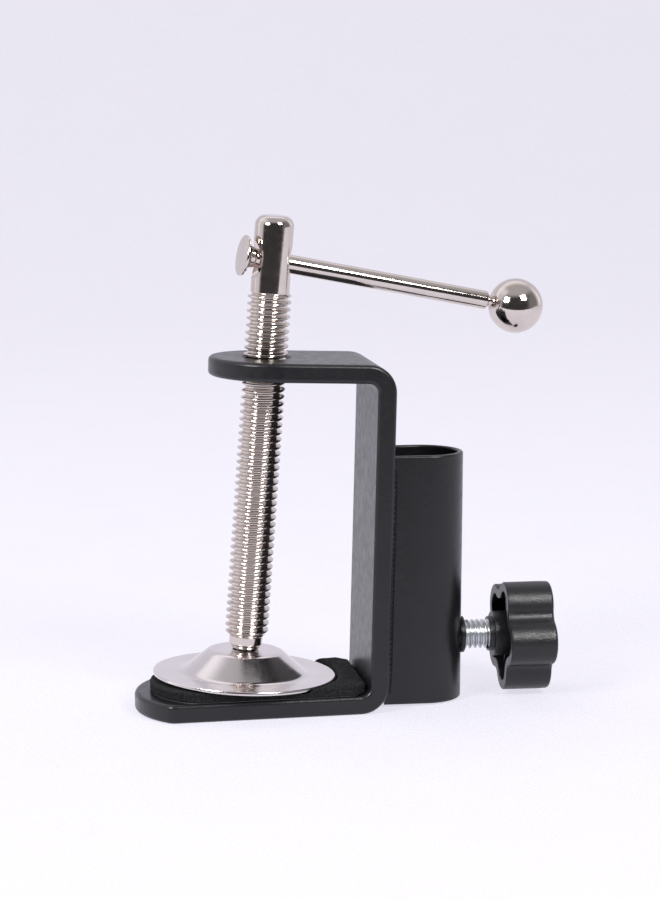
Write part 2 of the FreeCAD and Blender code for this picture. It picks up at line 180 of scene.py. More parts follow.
def lathe(line, closed=False, segments=SEGMENTS):
    """Points and faces of a turned solid; a closed line makes a ring."""
    points, faces, rings = [], [], []
    for radius, height in line:
        if radius < 1e-6:
            rings.append([len(points)] * segments)
            points.append((0, 0, height))
            continue
        rings.append(list(range(len(points), len(points) + segments)))
        for k in range(segments):
            a = 2 * math.pi * k / segments
            points.append((radius * math.cos(a), radius * math.sin(a), height))
    pairs = list(zip(rings, rings[1:])) + ([(rings[-1], rings[0])] if closed else [])
    for lower, upper in pairs:
        for k in range(segments):
            n = (k + 1) % segments
            loop = []
            for v in (lower[k], lower[n], upper[n], upper[k]):
                if v not in loop:
                    loop.append(v)
            if len(loop) > 2:
                faces.append(loop)
    return points, faces


def turned(corners, place, closed=False, steps=6, segments=SEGMENTS):
    points, faces = lathe(eased(corners, steps), closed, segments)
    return mesh_of(points, faces, place)


def tidy_copy(node, angle=32):
    """The exact shape of a node with its faces joined and its curves shaded smooth."""
    mesh = frame["nodes"][node].data.copy()
    mesh.materials.clear()
    work = bmesh.new()
    work.from_mesh(mesh)
    bmesh.ops.remove_doubles(work, verts=work.verts, dist=2e-6)
    work.to_mesh(mesh)
    work.free()
    return soften(mesh, angle)


def set_inputs(modifier, values):
    for item in modifier.node_group.interface.items_tree:
        if item.item_type == "SOCKET" and item.in_out == "INPUT" and item.name in values:
            modifier[item.identifier] = values[item.name]


def grown(tree, values):
    """The mesh that a node tree makes from its named inputs."""
    holder = bpy.data.objects.new("seed", bpy.data.meshes.new("seed"))
    bpy.context.scene.collection.objects.link(holder)
    modifier = holder.modifiers.new("grow", "NODES")
    modifier.node_group = tree
    set_inputs(modifier, values)
    bpy.context.view_layer.update()
    return baked(holder)


class Tree:
    """A small hand for wiring node trees."""

    def __init__(self, tree):
        self.tree = tree

    def node(self, kind, inputs=(), **settings):
        made = self.tree.nodes.new(kind)
        for key, value in settings.items():
            setattr(made, key, value)
        pairs = inputs.items() if isinstance(inputs, dict) else enumerate(inputs)
        for key, value in pairs:
            if value is None:
                continue
            if isinstance(value, bpy.types.NodeSocket):
                self.tree.links.new(value, made.inputs[key])
            else:
                made.inputs[key].default_value = value
        return made

    def math(self, operation, *inputs):
        return self.node("ShaderNodeMath", inputs, operation=operation).outputs[0]


def node_tree(name, sizes):
    """A geometry tree with named inputs and one geometry output."""
    tree = bpy.data.node_groups.new(name, "GeometryNodeTree")
    kinds = {float: "NodeSocketFloat", int: "NodeSocketInt"}
    for label, value in sizes.items():
        if isinstance(value, bpy.types.Material):
            tree.interface.new_socket(label, in_out="INPUT", socket_type="NodeSocketMaterial")
        else:
            socket = tree.interface.new_socket(
                label, in_out="INPUT", socket_type=kinds[type(value)])
            socket.default_value = value
    tree.interface.new_socket("Mesh", in_out="OUTPUT", socket_type="NodeSocketGeometry")
    given = tree.nodes.new("NodeGroupInput")
    out = tree.nodes.new("NodeGroupOutput")
    return Tree(tree), given.outputs, out


def close_tree(t, out, mesh, material):
    real = t.node("GeometryNodeRealizeInstances", [mesh])
    finish = t.node("GeometryNodeSetMaterial",
                    {"Geometry": real.outputs[0], "Material": material})
    t.tree.links.new(finish.outputs[0], out.inputs[0])


# ---- finishes ---------------------------------------------------------------


class Finish:
    """A procedural material under construction."""

    def __init__(self, name, **shader):
        self.material = bpy.data.materials.new(name)
        self.material.use_nodes = True
        self.t = Tree(self.material.node_tree)
        self.shader = self.material.node_tree.nodes["Principled BSDF"]
        for key, value in shader.items():
            self.shader.inputs[key.replace("_", " ")].default_value = value
        self.place = self.t.node("ShaderNodeTexCoord").outputs["Object"]

    def put(self, socket, key):
        self.t.tree.links.new(socket, self.shader.inputs[key])

    def noise(self, scale, detail=3.0, rough=0.55, place=None):
        inputs = {"Vector": place or self.place, "Scale": scale, "Detail": detail,
                  "Roughness": rough}
        return self.t.node("ShaderNodeTexNoise", inputs).outputs[0]

    def cells(self, scale):
        """Distance to the nearest of scattered points."""
        inputs = {"Vector": self.place, "Scale": scale}
        return self.t.node("ShaderNodeTexVoronoi", inputs, feature="F1").outputs["Distance"]

    def ramp(self, value, *stops):
        made = self.t.node("ShaderNodeValToRGB", [value])
        line = made.color_ramp
        for i, (where, colour) in enumerate(stops):
            stop = line.elements[i] if i < 2 else line.elements.new(where)
            stop.position = where
            stop.color = (*(colour if isinstance(colour, tuple) else (colour,) * 3), 1)
        return made.outputs[0]

    def span(self, value, low, high, start=0.0, end=1.0):
        inputs = {"Value": value, "From Min": start, "From Max": end, "To Min": low,
                  "To Max": high}
        return self.t.node("ShaderNodeMapRange", inputs).outputs[0]

    def bump(self, height, distance, strength=1.0, over=None):
        inputs = {"Height": height, "Distance": distance, "Strength": strength, "Normal": over}
        return self.t.node("ShaderNodeBump", inputs).outputs[0]


def powder_coat():
    f = Finish("satin_powder_coat", Metallic=0.0, IOR=1.5)
    f.shader.inputs["Specular IOR Level"].default_value = 0.44
    cloud = f.noise(60, 2)
    fine = f.noise(1500, 2, 0.6)
    tone = f.ramp(cloud, (0.3, (0.0062, 0.006, 0.0074)), (0.7, (0.009, 0.0088, 0.0106)))
    f.put(tone, "Base Color")
    f.put(f.span(f.noise(420, 4), 0.27, 0.38, 0.3, 0.7), "Roughness")
    peel = f.bump(f.noise(900, 2, 0.4), 0.00006, 0.55)
    f.put(f.bump(fine, 0.00003, 0.5, peel), "Normal")
    return f.material


def bright_nickel():
    f = Finish("bright_nickel", Metallic=1.0)
    cloud = f.noise(140, 3)
    f.put(f.ramp(cloud, (0.3, (0.60, 0.545, 0.505)), (0.7, (0.68, 0.62, 0.58))), "Base Color")
    f.put(f.span(f.noise(600, 4, 0.7), 0.06, 0.14, 0.35, 0.7), "Roughness")
    f.put(f.bump(f.noise(700, 3, 0.6), 0.00001, 0.35), "Normal")
    return f.material


def pressed_nickel():
    f = Finish("pressed_nickel", Metallic=1.0)
    centred = f.t.node("ShaderNodeMapping", {
        "Vector": f.place, "Location": pad.translation, "Rotation": pad.to_euler()},
        vector_type="TEXTURE").outputs[0]
    cloud = f.noise(90, 3, place=centred)
    f.put(f.ramp(cloud, (0.3, (0.70, 0.655, 0.65)), (0.7, (0.77, 0.73, 0.73))), "Base Color")
    grain = f.noise(900, 3, 0.7, place=centred)
    f.put(f.span(grain, 0.14, 0.22, 0.3, 0.7), "Roughness")
    split = f.t.node("ShaderNodeSeparateXYZ", [centred]).outputs
    across = f.t.math("SQRT", f.t.math("ADD", f.t.math("MULTIPLY", split[0], split[0]),
                                       f.t.math("MULTIPLY", split[1], split[1])))
    waver, lines_per_metre = 0.0006, 14000.0
    wobble = f.t.math("MULTIPLY_ADD", f.noise(300, 2, place=centred), waver, across)
    lines = f.t.math("SINE", f.t.math("MULTIPLY", wobble, lines_per_metre))
    turned_lines = f.bump(lines, 0.000002, 0.3)
    f.put(f.bump(grain, 0.000004, 0.2, turned_lines), "Normal")
    return f.material


def bright_zinc():
    f = Finish("bright_zinc", Metallic=1.0)
    tone = f.ramp(f.noise(500, 3), (0.3, (0.56, 0.585, 0.60)), (0.7, (0.68, 0.70, 0.72)))
    f.put(tone, "Base Color")
    f.put(f.span(f.noise(1200, 4, 0.7), 0.26, 0.4, 0.3, 0.7), "Roughness")
    f.put(f.bump(f.noise(2500, 3, 0.6), 0.00001, 0.4), "Normal")
    return f.material


def moulded_plastic():
    f = Finish("moulded_black_plastic", Metallic=0.0, IOR=1.49)
    cloud = f.noise(120, 3)
    tone = f.ramp(cloud, (0.3, (0.0062, 0.0061, 0.0075)), (0.7, (0.0092, 0.009, 0.0108)))
    f.put(tone, "Base Color")
    f.put(f.span(f.noise(800, 3), 0.3, 0.4, 0.3, 0.7), "Roughness")
    pits = f.bump(f.cells(2600), 0.00006, 0.55)
    f.put(f.bump(f.noise(1500, 4, 0.65), 0.00008, 0.6, pits), "Normal")
    return f.material


def closed_cell_foam():
    f = Finish("closed_cell_foam", Metallic=0.0, Roughness=0.95)
    f.shader.inputs["Specular IOR Level"].default_value = 0.18
    pores_and_pit_shade = f.cells(1700)
    # painted shade: the tone is darkest at the middle of each pore, where the bump below sinks a
    # pit, over a random noise tone
    cloud = f.t.math("MULTIPLY", f.noise(350, 3), pores_and_pit_shade)
    tone = f.ramp(cloud, (0.05, (0.0045, 0.0045, 0.005)), (0.4, (0.016, 0.016, 0.017)))
    f.put(tone, "Base Color")
    deep = f.bump(f.ramp(pores_and_pit_shade, (0.0, 0.0), (0.55, 1.0)), 0.00018, 0.7)
    f.put(f.bump(f.noise(700, 4, 0.7), 0.00022, 0.6, deep), "Normal")
    return f.material


def adhesive_film():
    f = Finish("adhesive_film", Metallic=0.0)
    tone = f.ramp(f.noise(300, 3), (0.3, (0.05, 0.05, 0.05)), (0.7, (0.085, 0.083, 0.08)))
    f.put(tone, "Base Color")
    f.put(f.span(f.noise(900, 3), 0.45, 0.62, 0.3, 0.7), "Roughness")
    f.put(f.bump(f.noise(500, 2), 0.00003, 0.4), "Normal")
    return f.material


finishes = {
    "powder_coat": powder_coat(), "nickel": bright_nickel(), "pressed_nickel": pressed_nickel(),
    "zinc": bright_zinc(), "black_plastic": moulded_plastic(), "foam": closed_cell_foam(),
    "film": adhesive_film()}

# ---- frame: strip, socket sleeve, weld beads, bush --------------------------

for piece_name, node_name in (("bent_strip", "clamp_bracket"),
                              ("post_socket_tube", "socket_tube"),
                              ("thread_bush", "stud_bush")):
    new_piece(piece_name, tidy_copy(node_name), "frame", "powder_coat", node_name)
give(frame["nodes"]["foam_film"], finishes["film"])
give(frame["nodes"]["pad_washer"], finishes["zinc"])

tube_radius = 10.65
weld_gap = 0.02
bead_leg = 1.9
bead_low = 4.0
bead_high = 63.5
bead_wander = 0.05
bead_swell = 0.12
ripple_pitch = 1.4
ripple_height = 0.15
bead_stations = 421
bead_sides = 12


def weld_bead(side):
    """A rippled fillet between the upright's back and the sleeve, seen from the upright."""
    foot = tube_radius + weld_gap
    points, faces = [], []
    for i in range(bead_stations):
        t = i / (bead_stations - 1)
        z = bead_low + (bead_high - bead_low) * t
        taper = min(1.0, 9 * min(t, 1 - t) + 0.25)
        wander = bead_wander * math.sin(0.9 * z + side)
        leg = bead_leg * (0.82 + 0.18 * taper)
        section = [(0, foot)]
        for k in range(bead_sides + 1):
            f = k / bead_sides
            bow = math.sin(math.pi * f)
            ripple = ripple_height * abs(math.sin(math.pi * (z / ripple_pitch + 0.35 * bow)))
            swell = (bead_swell + wander + ripple) * taper * bow
            section.append((leg * (1 - f) + swell, foot + leg * f + swell))
        base = len(points)
        points += [(x, side * y, z) for x, y in section]
        size = len(section)
        if i:
            for k in range(size):
                n = (k + 1) % size
                faces.append((base - size + k, base - size + n, base + n, base + k))
    faces.append(tuple(range(size)))
    faces.append(tuple(range(len(points) - size, len(points))))
    return points, faces


beads = bmesh.new()
for side in (-1, 1):
    one = mesh_of(*weld_bead(side), web)
    beads.from_mesh(one)
    bpy.data.meshes.remove(one)
bead_mesh = bpy.data.meshes.new("beads")
beads.to_mesh(bead_mesh)
beads.free()
new_piece("weld_beads", soften(bead_mesh, 60), "frame", "powder_coat", "tube_weld_beads")

# ---- threads ----------------------------------------------------------------


def thread_tree():
    """A rod whose surface is one continuous rolled thread."""
    t, given, out = node_tree("rolled_thread", {
        "Major Diameter": 0.0116, "Pitch": 0.00192, "Length": 0.0925, "Depth": 0.001,
        "Foot Diameter": 0.0089, "Top Diameter": 0.0103, "Columns": 96, "Rows": 700,
        "Material": finishes["nickel"]})
    major, pitch, length, depth, foot, top, columns, rows, material = [given[i] for i in range(9)]
    grid = t.node("GeometryNodeMeshGrid", {
        "Size X": 1.0, "Size Y": 1.0, "Vertices X": columns, "Vertices Y": rows})
    position = t.node("GeometryNodeInputPosition").outputs[0]
    where = t.node("ShaderNodeSeparateXYZ", [position]).outputs
    around = t.math("ADD", where[0], 0.5)
    along = t.math("ADD", where[1], 0.5)
    spare = t.math("MULTIPLY", pitch, 4.0)
    run = t.math("MULTIPLY", along, t.math("ADD", length, spare))
    below_foot = t.math("MULTIPLY_ADD", pitch, -3.0, run)
    raw = t.math("ADD", below_foot, t.math("MULTIPLY", pitch, around))
    height = t.math("MINIMUM", t.math("MAXIMUM", raw, 0.0), length)
    turn = t.math("FRACT", t.math("SUBTRACT", t.math("DIVIDE", height, pitch), around))
    ridge = t.math("MULTIPLY", t.math("ABSOLUTE", t.math("SUBTRACT", turn, 0.5)), 2.0)
    form = t.node("ShaderNodeMapRange", {
        "Value": ridge, "From Min": 0.22, "From Max": 0.86, "To Min": 0.0, "To Max": 1.0},
        interpolation_type="SMOOTHSTEP").outputs[0]
    root = t.math("SUBTRACT", t.math("MULTIPLY", major, 0.5), depth)
    radius = t.math("MULTIPLY_ADD", form, depth, root)
    end_slope = 1.1
    foot_limit = t.math("MULTIPLY_ADD", foot, 0.5, t.math("MULTIPLY", height, end_slope))
    left = t.math("SUBTRACT", length, height)
    top_limit = t.math("MULTIPLY_ADD", top, 0.5, t.math("MULTIPLY", left, end_slope))
    radius = t.math("MINIMUM", radius, t.math("MINIMUM", foot_limit, top_limit))
    beyond = t.math("MULTIPLY", pitch, 0.5)
    above = t.math("GREATER_THAN", raw, t.math("MULTIPLY", beyond, -1.0))
    below = t.math("LESS_THAN", raw, t.math("ADD", length, beyond))
    radius = t.math("MULTIPLY", radius, t.math("MULTIPLY", above, below))
    angle = t.math("MULTIPLY", around, 2 * math.pi)
    spot = t.node("ShaderNodeCombineXYZ", [
        t.math("MULTIPLY", radius, t.math("COSINE", angle)),
        t.math("MULTIPLY", radius, t.math("SINE", angle)), height])
    wrapped = t.node("GeometryNodeSetPosition",
                     {"Geometry": grid.outputs["Mesh"], "Position": spot.outputs[0]})
    joined = t.node("GeometryNodeMergeByDistance",
                    {"Geometry": wrapped.outputs[0], "Distance": 1e-6})
    close_tree(t, out, joined.outputs[0], material)
    return t.tree


threads = thread_tree()
rows_per_turn = 12


def thread(place, start, **sizes):
    """A length of thread that begins this far along its own axis."""
    values = {k.replace("_", " ").title(): v * MM if isinstance(v, float) else v
              for k, v in sizes.items()}
    turns = values["Length"] / values["Pitch"] + 4
    values["Rows"] = int(round(turns * rows_per_turn)) + 1
    mesh = grown(threads, values)
    mesh.transform(place @ Matrix.Translation((0, 0, start * MM)))
    return soften(mesh, 70)


# ---- clamp screw ------------------------------------------------------------

thread_diameter = 11.6
thread_pitch = 1.92
thread_start = 10.45
thread_length = 92.5
head_start = thread_start + thread_length
head_end = head_start + 20.2
head_radius = 5.15
bar_hole = 6.5
bar_hole_mouth = 9.2

new_piece("screw_thread", thread(
    screw, thread_start, major_diameter=thread_diameter, pitch=thread_pitch,
    length=thread_length, depth=1.05, foot_diameter=8.9, top_diameter=10.2, columns=97,
    material=finishes["nickel"]), "clamp_screw", "nickel")


def screw_head():
    """The plain head with the cross hole for the bar, its mouths turned open."""
    blank = turned([(0, head_end), (head_radius, head_end, 2.7), (head_radius, head_start, 0.35),
                    (4.6, head_start - 0.5), (0, head_start - 0.5)], screw, steps=12)
    gap = bar_hole / 2
    mouth = bar_hole_mouth / 2
    reach = head_radius
    cutter = turned([(0, -reach - 3), (mouth + 2.0, -reach - 3), (mouth + 0.5, -reach + 0.1),
                     (gap, -reach + 1.9, 1.2), (gap, reach - 1.9, 1.2),
                     (mouth + 0.5, reach - 0.1), (mouth + 2.0, reach + 3), (0, reach + 3)],
                    bar_hole_frame, steps=8, segments=96)
    holder = bpy.data.objects.new("head", blank)
    tool = bpy.data.objects.new("tool", cutter)
    for obj in (holder, tool):
        bpy.context.scene.collection.objects.link(obj)
    cut = holder.modifiers.new("hole", "BOOLEAN")
    cut.operation, cut.object, cut.solver = "DIFFERENCE", tool, "EXACT"
    mesh = baked(holder)
    bpy.data.objects.remove(tool)
    bpy.data.meshes.remove(blank)
    bpy.data.meshes.remove(cutter)
    return soften(mesh, 30)


bar_turn = math.radians(8.0)
bar_hole_frame = (screw @ Matrix.Translation((0, 0, bar_height))
                  @ Matrix.Rotation(bar_turn, 4, "Z") @ Matrix.Rotation(math.pi / 2, 4, "Y"))
new_piece("screw_head", screw_head(), "clamp_screw", "nickel", "clamp_screw")

neck_radius = 2.8
pivot_height = 6.6
pad_play = 0.55          # how far the pad can slide along the neck, each way
sheet = 1.1
washer_room = 1.1        # the hidden washer with its gap
rivet_thickness = 1.0
washer_top = pivot_height - sheet - pad_play
rivet_top = washer_top - washer_room
shoulder_start = pivot_height + pad_play
new_piece("screw_shank", soften(turned([
    (0, rivet_top - rivet_thickness), (4.2, rivet_top - rivet_thickness, 0.45),
    (4.2, rivet_top, 0.2),
    (neck_radius, rivet_top, 0.1), (neck_radius, shoulder_start, 0.1),
    (3.75, shoulder_start, 0.25), (3.9, shoulder_start + 0.7, 0.3),
    (4.45, shoulder_start + 1.2, 0.2), (4.45, thread_start + 0.35, 0.2),
    (3.9, thread_start + 0.8), (0, thread_start + 0.8)], screw), 30), "clamp_screw", "nickel")

# ---- tommy bar and ball -----------------------------------------------------

bar_end = -8.4
bar_radius = 2.5
ball_radius = 7.4
ball_reach = 69.8
bar_shoulder = ball_reach - ball_radius - 1.3
new_piece("tommy_bar_rod", soften(turned([
    (0, bar_end + 0.12), (3.2, bar_end + 0.06, 6.0), (5.4, bar_end, 0.28),
    (5.4, bar_end + 0.62, 0.3), (4.9, bar_end + 1.05, 0.2), (3.05, bar_end + 1.7, 0.7),
    (2.75, bar_end + 2.9, 0.8), (bar_radius, bar_end + 3.5, 0.5),
    (bar_radius, bar_shoulder, 0.45), (1.6, bar_shoulder, 0.1), (1.5, bar_shoulder + 0.5, 0.3),
    (1.5, ball_reach + 0.4), (0, ball_reach + 0.4)], bar), 30),
    "tommy_bar", "nickel", "tommy_bar")


def ball_line():
    """A ball with a small turned flat where the bar's tenon enters."""
    flat = 2.3
    bore = 1.55
    start = math.asin(flat / ball_radius)
    face = ball_reach - ball_radius * math.cos(start)
    line = [(0.0, ball_reach + 0.8), (bore, ball_reach + 0.8), (bore, face + 0.25),
            (flat - 0.25, face + 0.02)]
    steps = 96
    for k in range(steps):
        a = start + (math.pi - start) * k / steps
        line.append((ball_radius * math.sin(a), ball_reach - ball_radius * math.cos(a)))
    line.append((0.0, ball_reach + ball_radius))
    return line


points, faces = lathe(ball_line(), segments=160)
new_piece("turned_ball", soften(mesh_of(points, faces, bar), 30),
          "tommy_bar", "nickel", "bar_ball")

# ---- swivel pad -------------------------------------------------------------

pad_radius = 24.55
dome_base = 17.0
dome_top = 9.75
slope = math.atan2(dome_height - sheet, dome_base - dome_top)
shift = sheet * math.tan(slope / 2)
pad_hole = 3.4
new_piece("pad_pressing", soften(turned([
    (pad_hole, dome_height - sheet, 0.2), (dome_top - shift, dome_height - sheet, 2.4),
    (dome_base - shift, 0, 2.4), (pad_radius - 0.02, 0, 0.45),
    (pad_radius, sheet * 0.5, 0.2), (pad_radius - 0.15, sheet, 0.4), (dome_base, sheet, 2.9),
    (dome_top, dome_height, 2.95), (pad_hole, dome_height, 0.25),
    (pad_hole, dome_height - 0.5)], pad, closed=True, steps=12, segments=192), 40),
    "swivel_pad", "pressed_nickel", "swivel_pad")

# ---- thumbscrew -------------------------------------------------------------

stud_diameter = 7.9
stud_pitch = 1.41
stud_start = 9.45
stud_length = 21.3
new_piece("thumb_stud_thread", thread(
    stud, stud_start, major_diameter=stud_diameter, pitch=stud_pitch, length=stud_length,
    depth=0.8, foot_diameter=6.2, top_diameter=6.2, columns=73,
    material=finishes["zinc"]), "thumb_stud", "zinc", "thumb_stud")

# ---- star knob --------------------------------------------------------------

lobes = 5
star_radius = 15.3
lobe_round = 6.3
lobe_reach = star_radius - lobe_round
valley_round = 3.0
lobe_phase = 0.556
lobe_pitch = 2 * math.pi / lobes
valley_reach = lobe_reach * math.cos(lobe_pitch / 2) + math.sqrt(
    (lobe_round + valley_round) ** 2 - (lobe_reach * math.sin(lobe_pitch / 2)) ** 2)
hub_step = 1.2
hub_face = tube_radius + 7.5
knob_start = hub_face + hub_step + 2.4
knob_end = knob_start + 12.6
cavity_depth = 9.0
wall = 2.6


def star_samples(per_lobe=28, per_valley=14):
    """Points of the star's outline with their outward directions."""
    samples = []
    for i in range(lobes):
        a = lobe_pitch * (i + lobe_phase)
        b = a + lobe_pitch / 2
        centre = Vector((lobe_reach * math.cos(a), lobe_reach * math.sin(a)))
        valley = Vector((valley_reach * math.cos(b), valley_reach * math.sin(b)))
        join = (valley - centre).angle_signed(Vector((math.cos(a), math.sin(a))))
        for k in range(per_lobe):
            t = a + join * (2 * k / per_lobe - 1)
            n = Vector((math.cos(t), math.sin(t)))
            samples.append((centre + n * lobe_round, n))
        first = (centre - valley).normalized()
        spread = 2 * first.angle(Vector((-math.cos(b), -math.sin(b))))
        start = math.atan2(first.y, first.x)
        for k in range(per_valley):
            t = start - spread * k / per_valley
            n = Vector((math.cos(t), math.sin(t)))
            samples.append((valley + n * valley_round, -n))
    return samples


def star_sweep(line, samples):
    """Rings of the star, each drawn in by an amount and set at a height; ends are closed."""
    points, faces, rings = [], [], []
    for inset, height, shrink in line:
        ring = []
        for spot, out in samples:
            p = (spot - out * inset) * shrink
            ring.append(len(points))
            points.append((p.x, p.y, height))
        rings.append(ring)
    count = len(samples)
    for lower, upper in zip(rings, rings[1:]):
        for k in range(count):
            n = (k + 1) % count
            faces.append((lower[k], lower[n], upper[n], upper[k]))
    for ring, height in ((rings[0], line[0][1]), (rings[-1], line[-1][1])):
        middle = len(points)
        points.append((0, 0, height))
        for k in range(count):
            faces.append((ring[k], ring[(k + 1) % count], middle))
    return points, faces


def knob_line():
    floor = knob_start + cavity_depth
    wall_line = eased([(6.0, floor), (wall + 0.1, floor, 0.6), (wall, knob_start, 0.35),
                       (0.05, knob_start, 0.45), (0.0, knob_end - 3.0), (0.1, knob_end, 0.8),
                       (5.8, knob_end)], 7)
    line = [(5.99, floor, 0.4), (5.99, floor, 0.7)]
    line += [(inset, height, 1.0) for inset, height in wall_line[1:-1]]
    # a shallow dished face with a soft raised ring
    line += [(2.6, knob_end, 1.0), (3.6, knob_end - 0.1, 1.0), (4.4, knob_end - 0.5, 1.0),
             (5.4, knob_end - 0.62, 0.96), (5.99, knob_end - 0.66, 0.7),
             (5.99, knob_end - 0.68, 0.35)]
    return line


points, faces = star_sweep(knob_line(), star_samples())
new_piece("star_knob_shell", soften(mesh_of(points, faces, stud), 35),
          "star_knob", "black_plastic", "star_knob")

hub_root = knob_start + cavity_depth
knob_bore = 4.06
new_piece("star_knob_hub", soften(turned([
    (knob_bore, hub_root + 0.5), (knob_bore, hub_face, 0.15), (4.7, hub_face, 0.25),
    (4.7, hub_face + hub_step, 0.15), (6.0, hub_face + hub_step, 0.3), (6.1, hub_root, 0.0),
    (6.1, hub_root + 0.5)], stud, closed=True), 35), "star_knob", "black_plastic")


def rib_tree():
    """Thin ribs in a ring, drafted towards their free edge."""
    t, given, out = node_tree("ring_of_ribs", {
        "Count": 6, "Inner Radius": 0.0058, "Outer Radius": 0.0105, "Thickness": 0.001,
        "Height": 0.0075, "Draft": 0.25, "First Angle": 0.0,
        "Material": finishes["black_plastic"]})
    count, inner, outer, thick, tall, draft, first, material = [given[i] for i in range(8)]
    long = t.math("SUBTRACT", outer, inner)
    size = t.node("ShaderNodeCombineXYZ", [long, thick, tall]).outputs[0]
    block = t.node("GeometryNodeMeshCube",
                   {"Size": size, "Vertices X": 6, "Vertices Y": 4, "Vertices Z": 8})
    where = t.node("GeometryNodeInputPosition").outputs[0]
    split = t.node("ShaderNodeSeparateXYZ", [where]).outputs
    lower = t.math("SUBTRACT", 0.5, t.math("DIVIDE", split[2], tall))
    thin = t.math("SUBTRACT", 1.0, t.math("MULTIPLY", lower, draft))
    middle = t.math("MULTIPLY", t.math("ADD", outer, inner), 0.5)
    spot = t.node("ShaderNodeCombineXYZ", [
        t.math("ADD", split[0], middle), t.math("MULTIPLY", split[1], thin),
        t.math("ADD", split[2], t.math("MULTIPLY", tall, 0.5))])
    rib = t.node("GeometryNodeSetPosition",
                 {"Geometry": block.outputs["Mesh"], "Position": spot.outputs[0]})
    ring = t.node("GeometryNodePoints", {"Count": count})
    index = t.node("GeometryNodeInputIndex").outputs[0]
    turn = t.math("MULTIPLY", index, t.math("DIVIDE", 2 * math.pi, count))
    turn = t.math("ADD", turn, first)
    angles = t.node("ShaderNodeCombineXYZ", [0.0, 0.0, turn]).outputs[0]
    spread = t.node("GeometryNodeInstanceOnPoints", {
        "Points": ring.outputs[0], "Instance": rib.outputs[0], "Rotation": angles})
    close_tree(t, out, spread.outputs[0], material)
    return t.tree


rib_inner = 5.7
rib_outer = valley_reach - valley_round - wall + 0.4
rib_thickness = 1.0
rib_setback = 2.0        # the ribs stop this far inside the knob's open rim
rib_mesh = grown(rib_tree(), {
    "Count": lobes, "Inner Radius": rib_inner * MM, "Outer Radius": rib_outer * MM,
    "Thickness": rib_thickness * MM, "Height": (cavity_depth - rib_setback + 0.3) * MM,
    "Draft": 0.25, "First Angle": lobe_pitch * (lobe_phase + 0.5),
    "Material": finishes["black_plastic"]})
rib_mesh.transform(stud @ Matrix.Translation((0, 0, (knob_start + rib_setback) * MM)))
new_piece("star_knob_ribs", soften(rib_mesh, 35), "star_knob", "black_plastic")

# ---- foam pad ---------------------------------------------------------------

foam_low, foam_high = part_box("foam_pad")
foam_floor = foam_low.z / MM
foam_top = 8.0


def foam_outline():
    """The foam's plan: a shallow round tip, straight sides, corners cut at the upright."""
    tip, end = foam_low.x / MM, foam_high.x / MM
    edge = foam_high.y / MM
    radius = 19.25
    corner = 3.5
    cut = 3.0
    tip_x = tip + radius - math.sqrt(radius ** 2 - edge ** 2)
    blunt = 0.8
    corners = [(end, -edge + cut, blunt), (end, edge - cut, blunt), (end - cut, edge, blunt),
               (tip_x, edge, corner)]
    reach = math.asin((edge - 2.0) / radius)
    steps = 24
    for k in range(steps + 1):
        a = reach * (1 - 2 * k / steps)
        corners.append((tip + radius - radius * math.cos(a), radius * math.sin(a), 0))
    corners += [(tip_x, -edge, corner), (end - cut, -edge, blunt)]
    loop = [corners[-1]] + corners + [corners[0]]
    return [Vector(p) for p in eased(loop, 5)[1:-1]]


